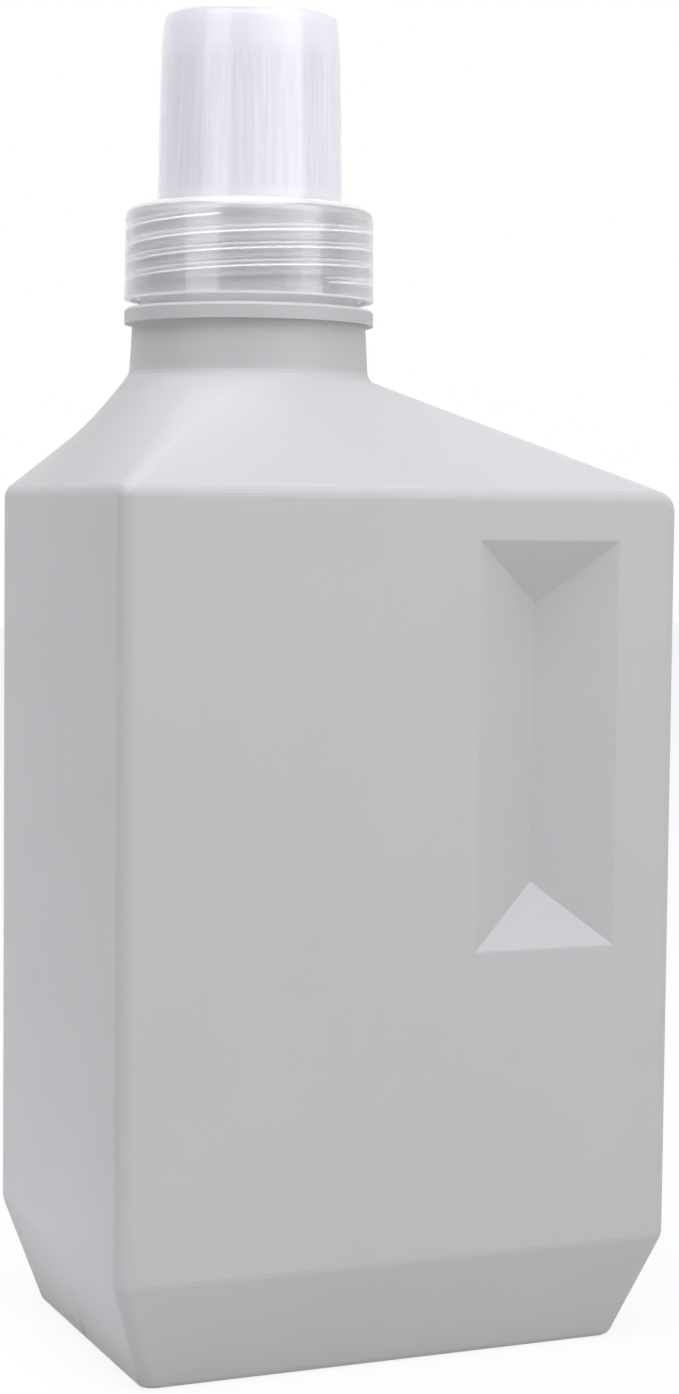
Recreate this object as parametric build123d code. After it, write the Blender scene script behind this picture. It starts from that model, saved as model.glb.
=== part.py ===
# Refillable laundry detergent bottle: a blow-moulded body with an off-centre neck and a grip trough in
# each broad face, a pouring spout pushed into the neck, and a screw-on measuring cap with its seal.
# Millimetres, +Z up. The origin is on the standing surface, under the middle of the body.
# The broad face that has the neck to its left is at -Y.
import os
from math import atan2, cos, pi, radians, sin, sqrt, tan

from build123d import *

# Body
body_width = 105.0           # along X
body_depth = 71.0            # along Y
body_height = 173.4          # standing surface to the foot of the neck
wall = 1.2                   # blown wall
edge_radius = 2.5            # upright edges

# Base
base_height = 19.4           # slanted foot, standing surface to base crease
base_inset_left = 6.5        # how far the foot draws in on each side
base_inset_right = 8.0
base_inset_broad = 5.4       # front and back alike
base_wall = 1.6
base_crease_radius = 6.0
foot_radius = 1.8            # rounding of the standing edge
push_up_depth = 1.6          # panel raised under the base, so that the bottle stands on its rim
push_up_margin = 8.0         # width of that rim
push_up_draft = 1.2          # the panel narrows by this much on each side
push_up_corner_radius = 6.0
push_up_overcut = 1.0

# Grip troughs, one in each broad face
grip_side_gap = 12.0         # from the right wall to the trough
grip_width = 27.4
grip_length = 72.2
grip_depth = 6.2             # at the valley
grip_end_run = 11.2          # length of the slanted ends
grip_drop = 7.8              # shoulder crease to the top of the trough
grip_rim_radius = 1.2

# Shoulder: it runs from the oblong body to the round foot of the neck
shoulder_height = 20.1
shoulder_crease_radius = 4.0
shoulder_hip_left = 56.5     # where the rounded hips meet the neck, in degrees off -X
shoulder_hip_right = 25.0    # and off +X
shoulder_hip_spread = 17.0   # degrees of the neck that each hip takes
shoulder_wall_drop = 0.8     # the inside of the sloping wall lies this much lower

# Neck
neck_side_gap = 14.35        # from the left wall to the neck
neck_foot_radius = 21.45
neck_taper = 0.45            # the cone below the collar
neck_height = 10.0           # shoulder to collar
neck_flare = 0.9             # the foot of the neck widens by this much
neck_flare_height = 2.0
neck_wall = 1.8
collar_overhang = 1.4
collar_height = 2.8
collar_chamfer = 0.5         # on its upper edge; the lower one is left sharp by the mould
finish_step = 1.9            # the finish, which carries the thread, is this much slimmer than the foot
finish_wall = 1.8
finish_height = 15.2         # collar to rim
finish_chamfer = 0.4
neck_bore_lead = 2.0         # cone under the bore

# Pouring spout
spout_flange_setback = 0.35  # from the outside of the finish
spout_flange_thickness = 0.8
spout_plug_depth = 12.0
spout_plug_wall = 1.0
spout_plug_interference = 0.05
spout_plug_taper = 0.8       # lead-in at the lower end of the plug
spout_floor_thickness = 1.1
spout_tube_radius = 11.5
spout_tube_wall = 1.0
spout_lip_rise = 2.2         # lip above the rim of the neck, on the pouring side
spout_back_drop = 5.0        # back of the tube below that rim
spout_drain_width = 6.0      # slot behind the tube, which lets drips run back

# Seal
seal_thickness = 0.9
seal_skirt_clearance = 0.85
seal_bore_clearance = 0.5    # round the pouring wall of the cap

# Measuring cap
cap_flange_thickness = 1.3
cap_flange_edge_radius = 2.2
cap_collar_gap = 1.5         # skirt above the collar
skirt_wall = 1.4
skirt_draft = 0.2
thread_depth = 1.2           # height of the thread on the neck
thread_clearance = 0.3
cup_foot_step = 0.25         # the cup is this much wider than the pouring wall
cup_wall = 1.25
cup_taper = 0.55             # over the straight part
cup_straight_height = 26.1
cup_crown_height = 8.0
cup_crown_inset = 0.6        # it curves in by this much below the rounded edge
cup_edge_radius = 1.3
cup_foot_chamfer = 0.4
cup_floor_chamfer = 0.8      # inside corner of the cup
skirt_chamfer = 0.3
pouring_wall_depth = 7.5     # cup wall carried on below the flange
pouring_wall_gap = 0.4       # to the plug of the spout

# Levels that follow
base_crease_z = base_height
neck_foot_z = body_height
shoulder_crease_z = neck_foot_z - shoulder_height
collar_z = neck_foot_z + neck_height
collar_top_z = collar_z + collar_height
rim_z = collar_top_z + finish_height
spout_flange_top_z = rim_z + spout_flange_thickness
seal_top_z = spout_flange_top_z + seal_thickness
cap_flange_top_z = seal_top_z + cap_flange_thickness
cup_crown_z = cap_flange_top_z + cup_straight_height
cup_top_z = cup_crown_z + cup_crown_height
skirt_bottom_z = collar_top_z + cap_collar_gap
grip_center_z = shoulder_crease_z - grip_drop - grip_length / 2
spout_floor_z = rim_z - spout_plug_depth

# Radii that follow
shoulder_top_radius = neck_foot_radius + neck_flare
neck_top_radius = neck_foot_radius - neck_taper
collar_radius = neck_top_radius + collar_overhang
finish_radius = neck_foot_radius - finish_step
neck_bore_radius = finish_radius - finish_wall
spout_flange_radius = finish_radius - spout_flange_setback
spout_plug_radius = neck_bore_radius + spout_plug_interference
spout_well_radius = spout_plug_radius - spout_plug_wall
pouring_wall_radius = spout_well_radius - pouring_wall_gap
cup_foot_radius = pouring_wall_radius + cup_foot_step
skirt_bore_radius = finish_radius + thread_depth + thread_clearance
skirt_radius = skirt_bore_radius + skirt_wall
skirt_top_radius = skirt_radius - skirt_draft
seal_outer_radius = skirt_bore_radius - seal_skirt_clearance
cup_crown_radius = cup_foot_radius - cup_taper
cup_top_radius = cup_crown_radius - cup_crown_inset

# Places that follow
half_width = body_width / 2
half_depth = body_depth / 2
neck_x = neck_side_gap + neck_foot_radius - half_width
grip_center_x = half_width - grip_side_gap - grip_width / 2

# Narrow faces that make up each rounding
foot_bands = 4
base_crease_bands = 3
shoulder_crease_bands = 6
neck_flare_bands = 3
cap_edge_bands = 4
crown_bands = 3

quarter_turn = 90            # degrees
overcut = 5.0                # how far cutting tools stand out of the faces they cut
same = 0.01                  # lengths closer than this are the same


def oblong_section(left, right, depth, radius, z):
    arcs = [
        ((left + radius, -depth + radius), 180),
        ((right - radius, -depth + radius), 270),
        ((right - radius, depth - radius), 0),
        ((left + radius, depth - radius), 90),
    ]
    corners = [
        Edge.make_circle(radius, Plane((x, y, z)), start, start + quarter_turn) for (x, y), start in arcs
    ]
    edges = []
    for corner, following in zip(corners, corners[1:] + corners[:1]):
        edges += [corner, Edge.make_line(corner @ 1, following @ 0)]
    return Wire(edges)


def neck_section(radius, z):
    hips = [
        180 + shoulder_hip_left,
        360 - shoulder_hip_right,
        360 + shoulder_hip_right,
        540 - shoulder_hip_left,
    ]
    stops = []
    for hip in hips:
        stops += [hip - shoulder_hip_spread / 2, hip + shoulder_hip_spread / 2]
    stops.append(stops[0] + 360)
    plane = Plane((neck_x, 0, z))
    return Wire([Edge.make_circle(radius, plane, a, b) for a, b in zip(stops, stops[1:])])


def crease_span(below, above, radius):
    # Heights, measured from a crease, where its rounding starts and ends. The side leans in by these angles.
    reach = radius * tan((above - below) / 2)
    return -reach * cos(below), reach * cos(above)


def crease_inset(below, above, radius, height):
    # How far in from its crease a side lies at this height
    lowest, highest = crease_span(below, above, radius)
    if height < lowest:
        return height * tan(below)
    if height > highest:
        return height * tan(above)
    center = radius * cos(below) + lowest * tan(below)
    return center - sqrt(max(radius**2 - (height - lowest + radius * sin(below)) ** 2, 0))


def body_form(skin, floor_z, drop):
    # The outside of the body, or with a skin the space inside its walls. Sides go left, right, broad.
    def section(z, insets):
        left, right, broad = insets
        return oblong_section(
            -half_width + skin + left,
            half_width - skin - right,
            half_depth - skin - broad,
            max(edge_radius - skin, edge_radius / 4),
            z,
        )

    def crease(z, insets, below, above, radius, bands):
        sides = list(zip(insets, below, above))
        spans = [crease_span(low, high, radius) for inset, low, high in sides]
        lowest = min(start for start, end in spans)
        highest = max(end for start, end in spans)
        for band in range(bands + 1):
            height = lowest + (highest - lowest) * band / bands
            drawn_in = [inset + crease_inset(low, high, radius, height) for inset, low, high in sides]
            yield section(z + height, drawn_in)

    base_insets = [base_inset_left, base_inset_right, base_inset_broad]
    base_leans = [-atan2(inset, base_height) for inset in base_insets]
    walls = [half_width + neck_x, half_width - neck_x, half_depth]
    shoulder_leans = [atan2(wall_reach - shoulder_top_radius, shoulder_height) for wall_reach in walls]
    upright = [0, 0, 0]
    flat = [-pi / 2] * 3
    if floor_z:
        foot = [section(floor_z, [inset * (1 - floor_z / base_height) for inset in base_insets])]
    else:
        foot = crease(floor_z, base_insets, flat, base_leans, foot_radius, foot_bands)
    base = crease(base_crease_z, upright, base_leans, upright, base_crease_radius, base_crease_bands)
    brow_z = shoulder_crease_z - drop
    brow = crease(brow_z, upright, upright, shoulder_leans, shoulder_crease_radius, shoulder_crease_bands)
    top = neck_section(shoulder_top_radius - skin, neck_foot_z - drop)
    return Solid.make_loft([*foot, *base, *brow, top], ruled=True)


def grip_tool(skin):
    # A hip-ended wedge that stands in the front face, or with a skin the inside of the wall round it
    side_lean = atan2(grip_depth, grip_width / 2)
    end_lean = atan2(grip_depth, grip_end_run)
    depth = grip_depth + skin / cos(side_lean)
    half_w = grip_width / 2 + skin / sin(side_lean)
    half_l = grip_length / 2 + skin / sin(end_lean)
    end_run = depth / tan(end_lean)
    across = Polyline(
        (-half_w, -overcut), (half_w, -overcut), (half_w, 0), (0, depth), (-half_w, 0), close=True
    )
    along = Polyline(
        (-overcut, -half_l), (0, -half_l), (depth, end_run - half_l),
        (depth, half_l - end_run), (0, half_l), (-overcut, half_l), close=True,
    )
    front = Pos(grip_center_x, -half_depth, grip_center_z)
    prism = extrude(front * make_face(across), half_l, both=True)
    wedge = extrude(front * (Plane.YZ * make_face(along)), half_w, both=True)
    return prism & wedge


def turned(*curves):
    # Piece turned about the neck axis from the closed half-profile of these curves, drawn as (radius, height)
    return Pos(neck_x, 0, 0) * revolve(Plane.XZ * make_face(curves), Axis.Z)


def ring_edges(part, radius, z):
    # Round edges about the neck axis, by their radius and height
    return part.edges().filter_by(GeomType.CIRCLE).filter_by(
        lambda e: abs(e.radius - radius) < same and abs(e.arc_center.Z - z) < same
    )


def on_grip_rim(edge):
    middle = edge @ 0.5
    return (
        abs(abs(middle.Y) - half_depth) < same
        and abs(middle.X - grip_center_x) < grip_width / 2 + same
        and abs(middle.Z - grip_center_z) < grip_length / 2 + same
    )


def push_up(skin):
    # The panel that is pushed up under the base, or with a skin its inside
    def section(z):
        inset = push_up_margin - skin + push_up_draft * z / push_up_depth
        return oblong_section(
            -half_width + base_inset_left + inset,
            half_width - base_inset_right - inset,
            half_depth - base_inset_broad - inset,
            push_up_corner_radius,
            z,
        )

    return Solid.make_loft([section(-push_up_overcut), section(push_up_depth + skin)], ruled=True)


def make_neck():
    steps = [step / neck_flare_bands for step in range(neck_flare_bands + 1)]
    flare = [
        (neck_foot_radius + neck_flare * (1 - step) ** 2, neck_foot_z + neck_flare_height * step)
        for step in steps
    ]
    neck = turned(
        Polyline(
            (0, neck_foot_z),
            *flare,
            (neck_top_radius, collar_z),
            (collar_radius, collar_z),
            (collar_radius, collar_top_z),
            (finish_radius, collar_top_z),
            (finish_radius, rim_z),
            (0, rim_z),
            close=True,
        )
    )
    neck = chamfer(ring_edges(neck, collar_radius, collar_top_z), collar_chamfer)
    return chamfer(ring_edges(neck, finish_radius, rim_z), finish_chamfer)


def make_bottle():
    outside = body_form(0, 0, 0) + make_neck()
    grip = grip_tool(0)
    outside = outside - grip - mirror(grip, Plane.XZ)
    outside = fillet(outside.edges().filter_by(on_grip_rim), grip_rim_radius)

    bore = turned(
        Polyline(
            (0, shoulder_crease_z),
            (neck_top_radius - neck_wall, shoulder_crease_z),
            (neck_top_radius - neck_wall, collar_z - neck_bore_lead),
            (neck_bore_radius, collar_z),
            (neck_bore_radius, rim_z + overcut),
            (0, rim_z + overcut),
            close=True,
        )
    )
    grip_back = grip_tool(wall)
    inside = body_form(wall, base_wall, shoulder_wall_drop) + bore
    inside = inside - grip_back - mirror(grip_back, Plane.XZ) - push_up(base_wall)
    return outside - inside - push_up(0)


def make_spout():
    well = turned(
        Polyline(
            (0, spout_floor_z),
            (spout_plug_radius - spout_plug_taper, spout_floor_z),
            (spout_plug_radius, spout_floor_z + spout_plug_taper),
            (spout_plug_radius, rim_z),
            (spout_flange_radius, rim_z),
            (spout_flange_radius, spout_flange_top_z),
            (spout_well_radius, spout_flange_top_z),
            (spout_well_radius, spout_floor_z + spout_floor_thickness),
            (0, spout_floor_z + spout_floor_thickness),
            close=True,
        )
    )
    tube_height = spout_plug_depth + spout_lip_rise
    foot = Pos(neck_x, 0, spout_floor_z)
    tube = foot * extrude(Circle(spout_tube_radius), tube_height)
    channel = foot * extrude(Circle(spout_tube_radius - spout_tube_wall), tube_height)
    slant = atan2(spout_lip_rise + spout_back_drop, 2 * spout_tube_radius)
    lip = (neck_x - spout_tube_radius, 0, rim_z + spout_lip_rise)
    mouth = Plane(lip, x_dir=(0, 1, 0), z_dir=(sin(slant), 0, cos(slant)))
    tube = split(tube, mouth, keep=Keep.BOTTOM)
    drain = Pos(neck_x, 0, spout_floor_z + spout_floor_thickness) * Box(
        spout_tube_radius, spout_drain_width, tube_height, align=(Align.MIN, Align.CENTER, Align.MIN)
    )
    return well + tube - channel - drain


def make_seal():
    ring = Circle(seal_outer_radius) - Circle(pouring_wall_radius + seal_bore_clearance)
    return Pos(neck_x, 0, spout_flange_top_z) * extrude(ring, seal_thickness)


def rounding(radius, top_radius, top_z):
    # Points of a half-profile's outer corner, rounded from its side to its top
    angles = [radians(quarter_turn * band / cap_edge_bands) for band in range(cap_edge_bands + 1)]
    return [(top_radius - radius * (1 - cos(a)), top_z - radius * (1 - sin(a))) for a in angles]


def crown_points():
    # The cup's outline from its straight part to its rounded edge, which bends in more and more
    height = cup_crown_height - cup_edge_radius
    straight_inset = cup_taper * height / cup_straight_height
    for band in range(crown_bands):
        share = band / crown_bands
        inset = straight_inset * share + (cup_crown_inset - straight_inset) * share**2
        yield cup_crown_radius - inset, cup_crown_z + height * share


def make_cap():
    cap = turned(
        Polyline(
            (skirt_radius, skirt_bottom_z),
            *rounding(cap_flange_edge_radius, skirt_top_radius, cap_flange_top_z),
            (cup_foot_radius, cap_flange_top_z),
            *crown_points(),
            *rounding(cup_edge_radius, cup_top_radius, cup_top_z),
            (0, cup_top_z),
            (0, cup_top_z - cup_wall),
            (cup_top_radius - cup_wall, cup_top_z - cup_wall),
            (cup_crown_radius - cup_wall, cup_crown_z),
            (cup_foot_radius - cup_wall, cap_flange_top_z),
            (cup_foot_radius - cup_wall, seal_top_z - pouring_wall_depth),
            (pouring_wall_radius, seal_top_z - pouring_wall_depth),
            (pouring_wall_radius, seal_top_z),
            (skirt_bore_radius, seal_top_z),
            (skirt_bore_radius, skirt_bottom_z),
            close=True,
        )
    )
    cap = chamfer(ring_edges(cap, cup_foot_radius, cap_flange_top_z), cup_foot_chamfer)
    cap = chamfer(ring_edges(cap, cup_top_radius - cup_wall, cup_top_z - cup_wall), cup_floor_chamfer)
    return chamfer(ring_edges(cap, skirt_radius, skirt_bottom_z), skirt_chamfer)


pieces = {
    "bottle": make_bottle(),
    "pouring_spout": make_spout(),
    "sealing_ring": make_seal(),
    "measuring_cap": make_cap(),
}
os.makedirs("parts", exist_ok=True)
for name, piece in pieces.items():
    export_step(piece, f"parts/{name}.step")
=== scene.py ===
import math

import bmesh
import bpy
from mathutils import Matrix, Vector


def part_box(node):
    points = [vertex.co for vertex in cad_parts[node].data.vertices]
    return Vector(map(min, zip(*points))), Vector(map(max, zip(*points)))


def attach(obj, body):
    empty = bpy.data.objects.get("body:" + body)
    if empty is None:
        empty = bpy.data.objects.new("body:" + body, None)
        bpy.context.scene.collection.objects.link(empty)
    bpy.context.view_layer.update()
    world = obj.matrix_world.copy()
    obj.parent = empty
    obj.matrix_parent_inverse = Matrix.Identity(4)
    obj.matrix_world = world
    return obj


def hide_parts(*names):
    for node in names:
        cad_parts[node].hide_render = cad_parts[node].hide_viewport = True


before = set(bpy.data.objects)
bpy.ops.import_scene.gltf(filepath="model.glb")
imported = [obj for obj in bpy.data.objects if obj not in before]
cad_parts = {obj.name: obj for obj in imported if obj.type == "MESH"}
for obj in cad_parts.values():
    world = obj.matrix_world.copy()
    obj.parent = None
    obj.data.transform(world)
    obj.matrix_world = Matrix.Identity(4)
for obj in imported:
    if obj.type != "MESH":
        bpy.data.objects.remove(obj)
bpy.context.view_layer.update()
scene = bpy.context.scene
mm = 0.001
meshSpec = {
    "weldMm": 0.002,  # points nearer than this become one
    "sameMm": 0.01,   # lengths closer than this are the same
    "sharpDeg": 32,   # edges bent by more than this stay sharp
}
print("frame loaded:", ", ".join(sorted(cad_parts)))


# small helpers

def srgb(hexValue):
    channels = [int(hexValue[i:i + 2], 16) / 255 for i in (1, 3, 5)]
    linear = [c / 12.92 if c <= 0.04045 else ((c + 0.055) / 1.055) ** 2.4 for c in channels]
    return (*linear, 1.0)


def perMetre(sizeMm):
    return 1 / (sizeMm * mm)  # texture scale whose features are about this size


def addNode(tree, kind, settings=None, links=None):
    node = tree.nodes.new(kind)
    for key, value in (settings or {}).items():
        if isinstance(key, int) or key in node.inputs:
            node.inputs[key].default_value = value
        else:
            setattr(node, key, value)
    for key, source in (links or {}).items():
        tree.links.new(source, node.inputs[key])
    return node


def setInputs(node, values):
    for key, value in values.items():
        node.inputs[key].default_value = value


def newMaterial(name):
    material = bpy.data.materials.new(name)
    material.use_nodes = True
    return material, material.node_tree, material.node_tree.nodes["Principled BSDF"]


def tintByCloud(tree, shader, place, look):
    # lets the base colour drift between two shades
    cloud = addNode(tree, "ShaderNodeTexNoise",
                    {"Scale": perMetre(look["cloudMm"]), "Detail": look["cloudDetail"]},
                    {"Vector": place.outputs["Object"]})
    tint = addNode(tree, "ShaderNodeMix",
                   {"data_type": "RGBA", 6: srgb(look["dark"]), 7: srgb(look["pale"])},
                   {0: cloud.outputs["Fac"]})
    tree.links.new(tint.outputs[2], shader.inputs["Base Color"])
    return cloud


def varyGloss(tree, shader, noise, look):
    low, high = look["roughness"]
    gloss = addNode(tree, "ShaderNodeMapRange", {"To Min": low, "To Max": high},
                    {"Value": noise.outputs["Fac"]})
    tree.links.new(gloss.outputs["Result"], shader.inputs["Roughness"])


def dressNode(nodeName, material):
    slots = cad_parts[nodeName].data.materials
    slots.clear()
    slots.append(material)


def roundOff(bm, geom, radiusMm, segments, affect):
    bmesh.ops.bevel(bm, geom=geom, offset=radiusMm * mm, offset_type="OFFSET", affect=affect,
                    segments=segments, profile=0.5, material=-1)


def addPiece(bm, name, materials, body, replaced=None):
    bmesh.ops.remove_doubles(bm, verts=bm.verts, dist=meshSpec["weldMm"] * mm)
    bmesh.ops.recalc_face_normals(bm, faces=bm.faces)
    mesh = bpy.data.meshes.new(name)
    bm.to_mesh(mesh)
    bm.free()
    for material in materials:
        mesh.materials.append(material)
    piece = bpy.data.objects.new(name, mesh)
    scene.collection.objects.link(piece)
    mesh.shade_smooth()
    mesh.set_sharp_from_angle(angle=math.radians(meshSpec["sharpDeg"]))
    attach(piece, body)
    if replaced:
        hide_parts(replaced)
    print("piece made:", name, len(mesh.polygons), "faces")
    return piece


# axis of the neck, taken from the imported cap
capLow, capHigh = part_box("measuring_cap")
neckAxis = Vector(((capLow.x + capHigh.x) / 2, 0, 0))


# HDPE, blow-moulded and pigmented light grey: a matte, faintly grained skin with a soft sheen
hdpeLook = {
    "pale": "#c4c2c4",
    "dark": "#bfbdbf",
    "cloudMm": 22,        # slow drift of the pigment
    "cloudDetail": 3.0,
    "grainMm": 0.55,      # eroded grain of the mould, drawn coarser than real so that it shows
    "grainDetail": 2.0,
    "grainDepthMm": 0.010,
    "roughness": (0.46, 0.56),
    "ior": 1.54,
}


def makeHdpe(look):
    material, tree, shader = newMaterial("mouldedGreyHdpe")
    place = addNode(tree, "ShaderNodeTexCoord")
    tintByCloud(tree, shader, place, look)
    grain = addNode(tree, "ShaderNodeTexNoise",
                    {"Scale": perMetre(look["grainMm"]), "Detail": look["grainDetail"]},
                    {"Vector": place.outputs["Object"]})
    varyGloss(tree, shader, grain, look)
    bump = addNode(tree, "ShaderNodeBump", {"Distance": look["grainDepthMm"] * mm, "Strength": 1.0},
                   {"Height": grain.outputs["Fac"]})
    tree.links.new(bump.outputs["Normal"], shader.inputs["Normal"])
    setInputs(shader, {"IOR": look["ior"]})
    return material


hdpe = makeHdpe(hdpeLook)
dressNode("bottle", hdpe)


# natural PP, injection-moulded: glossy, milky in the cup, clear enough in the skirt to show the finish
# behind it; the thread's flanks and the rim get a near-white, nearly opaque PP, a painted highlight for
# their bright lines
ppLook = {"ior": 1.49, "coatRoughness": 0.06}
milkyPpLook = {
    "color": "#eeeef4",
    "streak": "#e5e5ed",
    "roughness": 0.5,
    "transmission": 0.35,
    "scatter": 1.0,
    "scatterMm": 2.5,            # light wanders this far in the wall
    "coat": 1.0,
    "lineMm": 0.55,              # draw lines down the cup, left by its core
    "lineDetail": 2.0,
    "lineSqueeze": 0.02,         # the lines are drawn out by the inverse of this
    "lineDepthMm": 0.014,
    "linedMm": (205.5, 232.0),   # lower and upper end of the lines
    "lineFadeMm": (2.0, -3.0),   # from each end, they reach full strength over this height
    "streakSpan": (0.62, 0.42),  # noise at which a streak's tint begins and is full
}
clearPpLook = {"color": "#e2e2e4", "roughness": 0.36, "transmission": 0.95, "coat": 1.0}
# painted highlight: near-white, nearly opaque PP that stands in for the bright glints of light on the
# thread's flanks and the rim
paintedGlintPpLook = {"color": "#fafafc", "roughness": 0.5, "transmission": 0.05, "coat": 0.0}


def makePp(name, look):
    material, tree, shader = newMaterial(name)
    setInputs(shader, {
        "Base Color": srgb(look["color"]),
        "Transmission Weight": look["transmission"],
        "Roughness": look["roughness"],
        "IOR": ppLook["ior"],
        "Coat Weight": look["coat"],
        "Coat Roughness": ppLook["coatRoughness"],
    })
    return material, tree, shader


def drawLines(tree, shader, look):
    place = addNode(tree, "ShaderNodeTexCoord")
    squeeze = addNode(tree, "ShaderNodeMapping", {"Scale": (1, 1, look["lineSqueeze"])},
                      {"Vector": place.outputs["Object"]})
    lines = addNode(tree, "ShaderNodeTexNoise",
                    {"Scale": perMetre(look["lineMm"]), "Detail": look["lineDetail"]},
                    {"Vector": squeeze.outputs["Vector"]})
    split = addNode(tree, "ShaderNodeSeparateXYZ", {}, {"Vector": place.outputs["Object"]})
    above, below = [
        addNode(tree, "ShaderNodeMapRange", {"From Min": end * mm, "From Max": (end + fade) * mm},
                {"Value": split.outputs["Z"]})
        for end, fade in zip(look["linedMm"], look["lineFadeMm"])
    ]
    lined = addNode(tree, "ShaderNodeMath", {"operation": "MULTIPLY"},
                    {0: above.outputs["Result"], 1: below.outputs["Result"]})
    bump = addNode(tree, "ShaderNodeBump", {"Distance": look["lineDepthMm"] * mm},
                   {"Height": lines.outputs["Fac"], "Strength": lined.outputs["Value"]})
    for socket in ("Normal", "Coat Normal"):
        tree.links.new(bump.outputs["Normal"], shader.inputs[socket])
    begins, full = look["streakSpan"]
    sharp = addNode(tree, "ShaderNodeMapRange", {"From Min": begins, "From Max": full},
                    {"Value": lines.outputs["Fac"]})
    amount = addNode(tree, "ShaderNodeMath", {"operation": "MULTIPLY"},
                     {0: sharp.outputs["Result"], 1: lined.outputs["Value"]})
    tint = addNode(tree, "ShaderNodeMix",
                   {"data_type": "RGBA", 6: srgb(look["color"]), 7: srgb(look["streak"])},
                   {0: amount.outputs["Value"]})
    tree.links.new(tint.outputs[2], shader.inputs["Base Color"])


def makeMilkyPp(look):
    material, tree, shader = makePp("milkyMouldedPp", look)
    drawLines(tree, shader, look)
    setInputs(shader, {
        "Subsurface Weight": look["scatter"],
        "Subsurface Radius": (1.0, 1.0, 1.0),
        "Subsurface Scale": look["scatterMm"] * mm,
    })
    return material


milkyPp = makeMilkyPp(milkyPpLook)
clearPp = makePp("clearMouldedPp", clearPpLook)[0]
paintedGlintPp = makePp("paintedGlintPp", paintedGlintPpLook)[0]


# LDPE, natural: waxy and white, slightly cloudy
ldpeLook = {
    "pale": "#ecebea",
    "dark": "#e2e1e0",
    "cloudMm": 5,
    "cloudDetail": 3.0,
    "roughness": (0.35, 0.45),
    "ior": 1.51,
}

# PE foam: a matte white washer with fine closed cells
foamLook = {
    "pale": "#f0efee",
    "dark": "#dddcda",
    "cloudMm": 0.4,
    "cloudDetail": 3.0,
    "roughness": (0.75, 0.9),
    "ior": 1.45,
}


def makeCloudy(name, look):
    material, tree, shader = newMaterial(name)
    place = addNode(tree, "ShaderNodeTexCoord")
    cloud = tintByCloud(tree, shader, place, look)
    varyGloss(tree, shader, cloud, look)
    setInputs(shader, {"IOR": look["ior"]})
    return material


dressNode("pouring_spout", makeCloudy("waxyWhiteLdpe", ldpeLook))
dressNode("sealing_ring", makeCloudy("whitePeFoam", foamLook))
print("materials made")


# marks of the blow mould: a fine parting line up both narrow sides, torn wider at its foot where the
# parison was pinched off, and the welded seam along the panel under the base
partingSpec = {
    "sides": {
        # along X, height, half width, height above the wall and reach of the crease's rounding, in mm
        "partingLineLeft": (
            (-46.44, 1.3, 0.8, 0.40, 0),
            (-48.18, 6.5, 0.3, 0.06, 0),
            (-52.5, 19.4, 0.3, 0.05, 0.98),
            (-52.5, 153.3, 0.3, 0.05, 1.22),
            (-39.05, 173.4, 0.3, 0.04, 0),
        ),
        "partingLineRight": (
            (45.04, 1.3, 0.8, 0.40, 0),
            (47.18, 6.5, 0.3, 0.06, 0),
            (52.5, 19.4, 0.3, 0.05, 1.19),
            (52.5, 153.3, 0.3, 0.05, 2.64),
            (5.65, 173.4, 0.3, 0.04, 0),
        ),
    },
    "roundSegments": 6,
    "sinkMm": 0.02,           # the line's edges lie this far inside the wall
    "rootMm": 0.5,            # depth inside the wall
    "seamMm": (-35.0, 33.6),  # along the panel
    "seamWidthMm": 1.0,
    "seamProudMm": 0.5,
    "seamRoundMm": 0.3,
    "seamSegments": 3,
    "panelMm": 1.6,           # height of that panel
}


def addPartingLine(bm, spec, points):
    outward = 1 if points[0][0] > 0 else -1
    rows = []
    for side in (-1, 0, 1):
        lift = [proud if side == 0 else -spec["sinkMm"] for x, z, half, proud, reach in points]
        rows.append([
            bm.verts.new(((x + outward * rise) * mm, side * half * mm, z * mm))
            for (x, z, half, proud, reach), rise in zip(points, lift)
        ])
    for low, high in zip(rows, rows[1:]):
        for corner in range(len(points) - 1):
            bm.faces.new((low[corner], high[corner], high[corner + 1], low[corner + 1]))
    crossings = [
        (point[-1], [bm.edges.get((low[i], high[i])) for low, high in zip(rows, rows[1:])])
        for i, point in enumerate(points)
    ]
    for reach, edges in crossings:
        if reach:
            roundOff(bm, edges, reach, spec["roundSegments"], "EDGES")
    bmesh.ops.recalc_face_normals(bm, faces=bm.faces)
    bmesh.ops.solidify(bm, geom=bm.faces[:], thickness=spec["rootMm"] * mm)


def addSeam(bm, spec):
    left, right = spec["seamMm"]
    depth = spec["seamProudMm"] + spec["rootMm"]
    seam = bmesh.ops.create_cube(bm, size=1)["verts"]
    bmesh.ops.scale(bm, vec=((right - left) * mm, spec["seamWidthMm"] * mm, depth * mm), verts=seam)
    middle = Vector(((left + right) / 2, 0, spec["panelMm"] - spec["seamProudMm"] + depth / 2)) * mm
    bmesh.ops.translate(bm, vec=middle, verts=seam)
    lower = [e for e in bm.edges if all(v.co.z < middle.z for v in e.verts)]
    roundOff(bm, lower, spec["seamRoundMm"], spec["seamSegments"], "EDGES")


for sideName, sidePoints in partingSpec["sides"].items():
    lineMesh = bmesh.new()
    addPartingLine(lineMesh, partingSpec, sidePoints)
    addPiece(lineMesh, sideName, [hdpe], "bottle")
seamMesh = bmesh.new()
addSeam(seamMesh, partingSpec)
addPiece(seamMesh, "pinchOffSeam", [hdpe], "bottle")


# screw thread, right-handed with two starts, on the neck and inside the skirt
threadSpec = {
    "leadMm": 6.0,
    "starts": 2,
    "runOutDeg": 24,      # each end fades away over this turn
}
neckThread = {
    "rootMm": 19.45,      # just inside the finish
    "crestMm": 20.5,
    "footMm": 1.5,
    "topMm": 0.5,
    "lowMm": 190.0,       # middle of the ridge at its lower end
    "turns": 1.5,
    "startDeg": 186,
    "stepsPerTurn": 72,
    "leastShare": 0.02,   # share of the ridge's height that is left at each end
}


def threadStrength(turned, turns):
    return min(1, max(0, min(turned, turns - turned) * 360 / threadSpec["runOutDeg"]))


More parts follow.
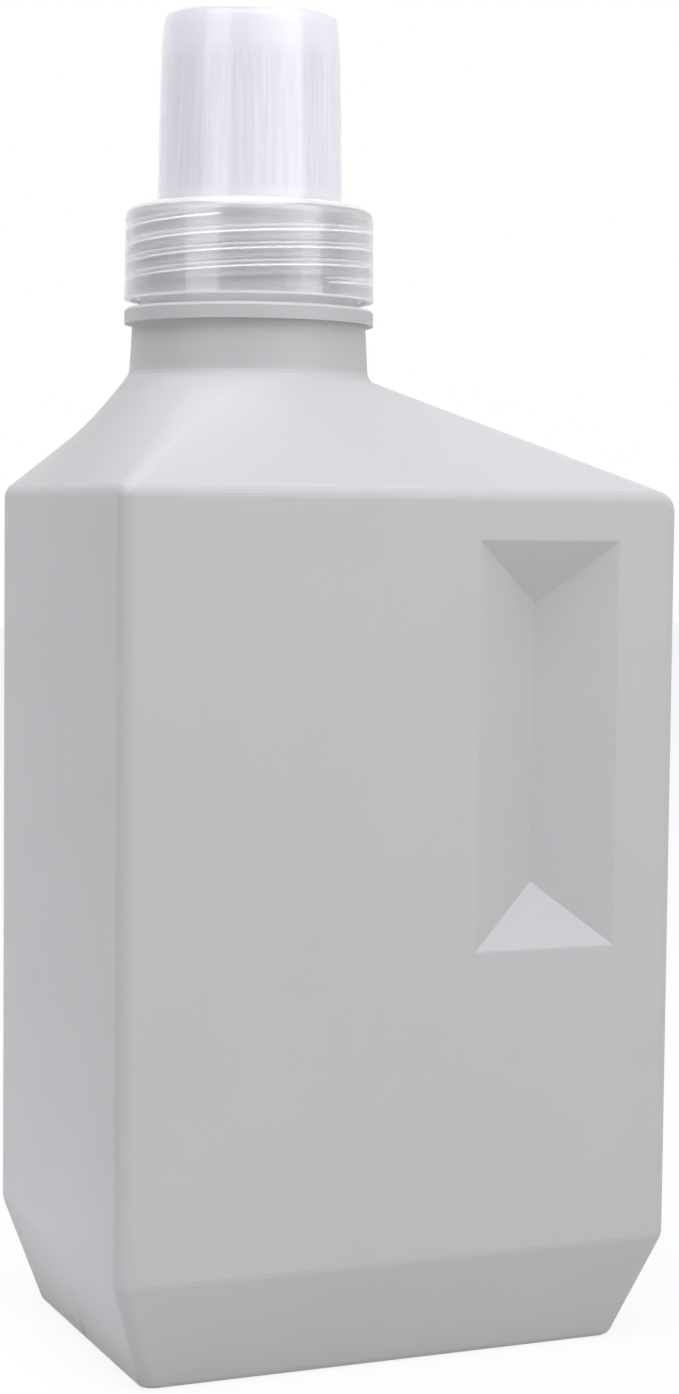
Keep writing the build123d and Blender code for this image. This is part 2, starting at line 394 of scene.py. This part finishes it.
def addNeckThread(bm, spec):
    steps = int(spec["turns"] * spec["stepsPerTurn"])
    rise = Vector((0, 0, spec["turns"] * threadSpec["leadMm"] * mm / steps))
    root = spec["rootMm"] * mm
    corners = (
        (spec["rootMm"], -spec["footMm"] / 2),
        (spec["crestMm"], -spec["topMm"] / 2),
        (spec["crestMm"], spec["topMm"] / 2),
        (spec["rootMm"], spec["footMm"] / 2),
    )
    for start in range(threadSpec["starts"]):
        heading = math.radians(spec["startDeg"] + start * 360 / threadSpec["starts"])
        outward = Vector((math.cos(heading), math.sin(heading), 0))
        ring = [
            bm.verts.new(neckAxis + outward * radius * mm + Vector((0, 0, (spec["lowMm"] + height) * mm)))
            for radius, height in corners
        ]
        profile = bm.faces.new(ring)
        before = set(bm.verts) - set(ring)
        bmesh.ops.spin(bm, geom=[profile, *profile.edges, *ring], cent=neckAxis, axis=(0, 0, 1),
                       dvec=rise, angle=spec["turns"] * 2 * math.pi, steps=steps, use_merge=False)
        for vert in set(bm.verts) - before:
            arm = vert.co - neckAxis
            turned = (arm.z / mm - spec["lowMm"]) / threadSpec["leadMm"]
            reach = math.hypot(arm.x, arm.y)
            share = max(spec["leastShare"], threadStrength(turned, spec["turns"]))
            pull = (root + (reach - root) * share) / reach
            vert.co = neckAxis + Vector((arm.x * pull, arm.y * pull, arm.z))


threadMesh = bmesh.new()
addNeckThread(threadMesh, neckThread)
addPiece(threadMesh, "neckThread", [hdpe], "bottle")


# measuring cap, turned from its half profile, with the thread raised on the bore of its skirt
capSpec = {
    "spinSteps": 180,
    "profile": (
        # radius, height, corner radius in mm
        (22.45, 187.65, 0.3),
        (22.25, 204.4, 2.2),
        (16.65, 204.4, 0.35),
        (16.1, 230.5, 0),
        (15.88, 234.2, 0),
        (15.5, 237.2, 0),
        (15.42, 238.45, 1.2),
        (0, 238.45, 0),
        (0, 237.25, 0),
        (14.2, 237.25, 1.0),
        (14.85, 230.5, 0),
        (15.4, 204.4, 0),
        (15.4, 195.6, 0.3),
        (16.4, 195.6, 0.3),
        (16.4, 203.1, 0.4),
        (21.05, 203.1, 0.4),
        (21.05, 187.65, 0.3),
    ),
    "cornerSegments": 6,
    "boreMm": 21.05,
    "boreLeastMm": 5,       # the bore's own line is longer than this
    "boreRows": 150,
    "threadMm": 0.85,       # height of the thread
    "footMm": 1.15,         # its width on the bore, and on its crest
    "topMm": 0.5,
    "lowMm": 190.45,        # middle of the ridge at its lower end
    "turns": 1.867,
    "startDeg": 285,
    "clearBelowMm": 203.4,  # the skirt lies below this height and beyond this radius
    "clearBeyondMm": 16.9,
    # the rim below this height and the thread's flank faces get the near-white PP of the painted
    # highlight
    "paintedGlintRimMm": 188.05,
    "paintedGlintStep": 0.1,     # a flank's face climbs more than this share of the thread's height
}


def atRadius(edge, radiusMm):
    reaches = [v.co.x - neckAxis.x for v in edge.verts]
    return all(abs(reach - radiusMm * mm) < meshSpec["sameMm"] * mm for reach in reaches)


def addTurned(bm, spec):
    ring = [
        bm.verts.new(neckAxis + Vector((radius * mm, 0, height * mm)))
        for radius, height, corner in spec["profile"]
    ]
    bm.faces.new(ring)
    for vert, (radius, height, corner) in zip(ring, spec["profile"]):
        if corner:
            roundOff(bm, [vert], corner, spec["cornerSegments"], "VERTICES")
    bmesh.ops.delete(bm, geom=bm.faces[:], context="FACES_ONLY")
    onAxis = [e for e in bm.edges if atRadius(e, 0)]
    bmesh.ops.delete(bm, geom=onAxis, context="EDGES")
    bore = [
        e for e in bm.edges
        if e.calc_length() > spec["boreLeastMm"] * mm and atRadius(e, spec["boreMm"])
    ]
    bmesh.ops.subdivide_edges(bm, edges=bore, cuts=spec["boreRows"])
    bmesh.ops.spin(bm, geom=bm.verts[:] + bm.edges[:], cent=neckAxis, axis=(0, 0, 1),
                   angle=2 * math.pi, steps=spec["spinSteps"], use_merge=True)


def raiseThread(bm, spec):
    # moves the bore's points in to the thread, and gives the share of its height at each
    bore = spec["boreMm"] * mm
    flank = (spec["footMm"] - spec["topMm"]) / 2
    heights = {}
    for vert in bm.verts:
        arm = vert.co - neckAxis
        reach = math.hypot(arm.x, arm.y)
        if abs(reach - bore) > meshSpec["sameMm"] * mm:
            continue
        heading = math.degrees(math.atan2(arm.y, arm.x))
        height = 0
        for start in range(threadSpec["starts"]):
            share = ((heading - spec["startDeg"]) / 360 - start / threadSpec["starts"]) % 1
            for turned in (share, share + 1):
                offset = abs(arm.z / mm - spec["lowMm"] - threadSpec["leadMm"] * turned)
                slope = min(1, max(0, (spec["footMm"] / 2 - offset) / flank))
                smooth = slope * slope * (3 - 2 * slope)  # eases in at the foot and out at the crest
                height = max(height, threadStrength(turned, spec["turns"]) * smooth)
        heights[vert] = height
        pull = 1 - height * spec["threadMm"] * mm / reach
        vert.co = neckAxis + Vector((arm.x * pull, arm.y * pull, arm.z))
    return heights


def zoneCap(bm, spec, heights):
    milky, clear, paintedGlintIndex = 0, 1, 2
    for face in bm.faces:
        middle = face.calc_center_median() - neckAxis
        reach = math.hypot(middle.x, middle.y)
        rises = [heights.get(vert, 0) for vert in face.verts]
        # the rim and the thread's flanks get the painted-highlight PP
        if middle.z < spec["paintedGlintRimMm"] * mm or max(rises) - min(rises) > spec["paintedGlintStep"]:
            face.material_index = paintedGlintIndex
        elif middle.z < spec["clearBelowMm"] * mm and reach > spec["clearBeyondMm"] * mm:
            face.material_index = clear
        else:
            face.material_index = milky


capMesh = bmesh.new()
addTurned(capMesh, capSpec)
zoneCap(capMesh, capSpec, raiseThread(capMesh, capSpec))
cap = addPiece(capMesh, "measuringCapMoulding", [milkyPp, clearPp, paintedGlintPp],
               "cap", "measuring_cap")
cap.visible_shadow = False  # light passes through it to the collar below


# floor, pale and plain: white to the camera, with the bottle's shadow kept
floorLook = {"sizeM": 6.0, "color": "#cccccc", "roughness": 0.9, "ownLight": 0.85, "glow": 1.05}


def findSeen(tree):
    # the second node gives 1 for what the camera sees, straight or through a clear wall
    path = addNode(tree, "ShaderNodeLightPath")
    seen = addNode(tree, "ShaderNodeMath", {"operation": "MAXIMUM"},
                   {0: path.outputs["Is Camera Ray"], 1: path.outputs["Is Transmission Ray"]})
    return path, seen


def makeFloor(look):
    bm = bmesh.new()
    bmesh.ops.create_grid(bm, x_segments=1, y_segments=1, size=look["sizeM"] / 2)
    mesh = bpy.data.meshes.new("studioFloor")
    bm.to_mesh(mesh)
    bm.free()
    floor = bpy.data.objects.new("studioFloor", mesh)
    scene.collection.objects.link(floor)
    material, tree, shader = newMaterial("paleStudioFloor")
    setInputs(shader, {"Base Color": srgb(look["color"]), "Roughness": look["roughness"]})
    white = addNode(tree, "ShaderNodeEmission", {"Strength": look["glow"]})
    path, seen = findSeen(tree)
    plain = addNode(tree, "ShaderNodeMath", {"operation": "MAXIMUM"},
                    {0: seen.outputs["Value"], 1: path.outputs["Is Glossy Ray"]})
    share = addNode(tree, "ShaderNodeMath", {"operation": "MULTIPLY", 1: look["ownLight"]},
                    {0: plain.outputs["Value"]})
    both = addNode(tree, "ShaderNodeMixShader", {},
                   {0: share.outputs["Value"], 1: shader.outputs["BSDF"], 2: white.outputs["Emission"]})
    tree.links.new(both.outputs["Shader"], tree.nodes["Material Output"].inputs["Surface"])
    mesh.materials.append(material)


makeFloor(floorLook)


# white surroundings: full white where the camera or a clear wall sees them, softer and sloped as light,
# and in a gloss a white backdrop with a dimmer room before it
worldLook = {
    "color": "#ffffff",
    "light": 0.30,
    "slope": (0.11, 0.09, -0.40),     # share by which the light grows towards +X, +Y and +Z
    "backdropTo": (0.39, 0.92, 0.0),  # direction of the backdrop's middle
    "backdropEdge": (0.2, 0.7),       # how far round the backdrop reaches, as cosines
    "room": 0.35,
    "white": 1.0,
}


def makeWorld(look):
    world = bpy.data.worlds.new("whiteStudio")
    scene.world = world
    world.use_nodes = True
    sky = world.node_tree
    background = sky.nodes["Background"]
    setInputs(background, {"Color": srgb(look["color"])})
    heading = addNode(sky, "ShaderNodeTexCoord")
    lean, turned = [
        addNode(sky, "ShaderNodeVectorMath", {"operation": "DOT_PRODUCT", 1: look[key]},
                {0: heading.outputs["Generated"]})
        for key in ("slope", "backdropTo")
    ]
    sloped = addNode(sky, "ShaderNodeMath",
                     {"operation": "MULTIPLY_ADD", 1: look["light"], 2: look["light"]},
                     {0: lean.outputs["Value"]})
    begins, full = look["backdropEdge"]
    mirrored = addNode(sky, "ShaderNodeMapRange", {
        "From Min": begins, "From Max": full, "To Min": look["room"], "To Max": look["white"],
    }, {"Value": turned.outputs["Value"]})
    path, seen = findSeen(sky)
    asGloss = addNode(sky, "ShaderNodeMix", {"data_type": "FLOAT"}, {
        0: path.outputs["Is Glossy Ray"], 2: sloped.outputs["Value"], 3: mirrored.outputs["Result"],
    })
    level = addNode(sky, "ShaderNodeMix", {"data_type": "FLOAT", 3: look["white"]},
                    {0: seen.outputs["Value"], 2: asGloss.outputs[0]})
    sky.links.new(level.outputs[0], background.inputs["Strength"])


makeWorld(worldLook)


# camera, at the photograph's viewing angle
cameraSpec = {
    "placeM": (-0.19655, -0.46889, 0.14964),
    "yawDeg": 22.93,
    "pitchDeg": 3.77,
    "rollDeg": 0.60,
    "lensMm": 71.44,
    "sensorMm": 36.0,
    "nearestM": 0.01,
}


def makeCamera(spec):
    camera = bpy.data.cameras.new("photoCamera")
    camera.sensor_fit = "VERTICAL"
    camera.sensor_height = spec["sensorMm"]
    camera.lens = spec["lensMm"]
    camera.clip_start = spec["nearestM"]
    viewer = bpy.data.objects.new("photoCamera", camera)
    scene.collection.objects.link(viewer)
    viewer.matrix_world = (
        Matrix.Translation(spec["placeM"])
        @ Matrix.Rotation(-math.radians(spec["yawDeg"]), 4, "Z")
        @ Matrix.Rotation(math.radians(90 - spec["pitchDeg"]), 4, "X")
        @ Matrix.Rotation(math.radians(spec["rollDeg"]), 4, "Z")
    )
    scene.camera = viewer


# soft boxes: turned from the camera's side, right positive, seen from above
lightDefaults = {
    "color": "#ffffff",
    "spreadDeg": 180,
    "aimHeightM": 0.12,  # above the origin, for a box that isn't aimed straight down
    "aimDown": False,
    "glossOnly": False,
    "diffuseOnly": False,
}
lightSpecs = {
    "leftStripBox": {
        "turnDeg": -42, "heightM": 0.3, "awayM": 1.2, "sizeM": (0.68, 1.2), "watts": 4.6,
        "glossOnly": True,
    },
    "rightStripBox": {
        "turnDeg": 51, "heightM": 0.3, "awayM": 1.2, "sizeM": (0.72, 1.2), "watts": 2.3,
        "glossOnly": True,
    },
    "overheadSoftBox": {
        "turnDeg": 0, "heightM": 1.3, "awayM": 0.35, "sizeM": (1.2, 1.2), "watts": 17.1,
        "color": "#fbfbff",
    },
    "rightSoftBox": {
        "turnDeg": 60, "heightM": 0.5, "awayM": 0.9, "sizeM": (0.4, 0.9), "watts": 1.6,
    },
    "rightBackSoftBox": {
        "turnDeg": 110, "heightM": 0.35, "awayM": 0.9, "sizeM": (0.5, 0.8), "watts": 0.6,
    },
    "frontSoftBox": {
        "turnDeg": 25, "heightM": 0.7, "awayM": 1.0, "sizeM": (0.8, 0.8), "watts": 1.8,
    },
    "highLeftSoftBox": {
        "turnDeg": -110, "heightM": 0.8, "awayM": 0.6, "sizeM": (0.4, 0.4), "watts": 1.4,
        "diffuseOnly": True,
    },
    "backLeftSoftBox": {
        "turnDeg": -118, "heightM": 0.05, "awayM": 0.9, "sizeM": (0.5, 0.5), "watts": 1.0,
        "color": "#f8f8ff", "diffuseOnly": True,
    },
    # these two shine on the floor, which throws the light up on the left side and its slanted foot
    "leftFloorBox": {
        "turnDeg": -110, "heightM": 0.6, "awayM": 0.36, "sizeM": (0.2, 0.2), "watts": 0.6,
        "color": "#f8f8ff", "spreadDeg": 50, "aimDown": True,
    },
    "leftFootBox": {
        "turnDeg": -67, "heightM": 0.03, "awayM": 0.08, "sizeM": (0.02, 0.07), "watts": 0.011,
        "color": "#f4f4ff", "spreadDeg": 50, "aimDown": True,
    },
}


def makeLight(name, spec):
    light = bpy.data.lights.new(name, "AREA")
    light.shape = "RECTANGLE"
    light.size, light.size_y = spec["sizeM"]
    light.energy = spec["watts"]
    light.color = srgb(spec["color"])[:3]
    light.spread = math.radians(spec["spreadDeg"])
    lamp = bpy.data.objects.new(name, light)
    scene.collection.objects.link(lamp)
    heading = math.radians(cameraSpec["yawDeg"] - spec["turnDeg"])
    foot = Vector((-math.sin(heading), -math.cos(heading), 0)) * spec["awayM"]
    place = foot + Vector((0, 0, spec["heightM"]))
    target = foot if spec["aimDown"] else Vector((0, 0, spec["aimHeightM"]))
    lamp.location = place
    lamp.rotation_euler = (target - place).to_track_quat("-Z", "Y").to_euler()
    lamp.visible_camera = False
    lamp.visible_diffuse = not spec["glossOnly"]
    lamp.visible_glossy = lamp.visible_transmission = not spec["diffuseOnly"]


for lightName, lightSpec in lightSpecs.items():
    makeLight(lightName, {**lightDefaults, **lightSpec})
makeCamera(cameraSpec)
scene.view_settings.view_transform = "Standard"
print("studio made")
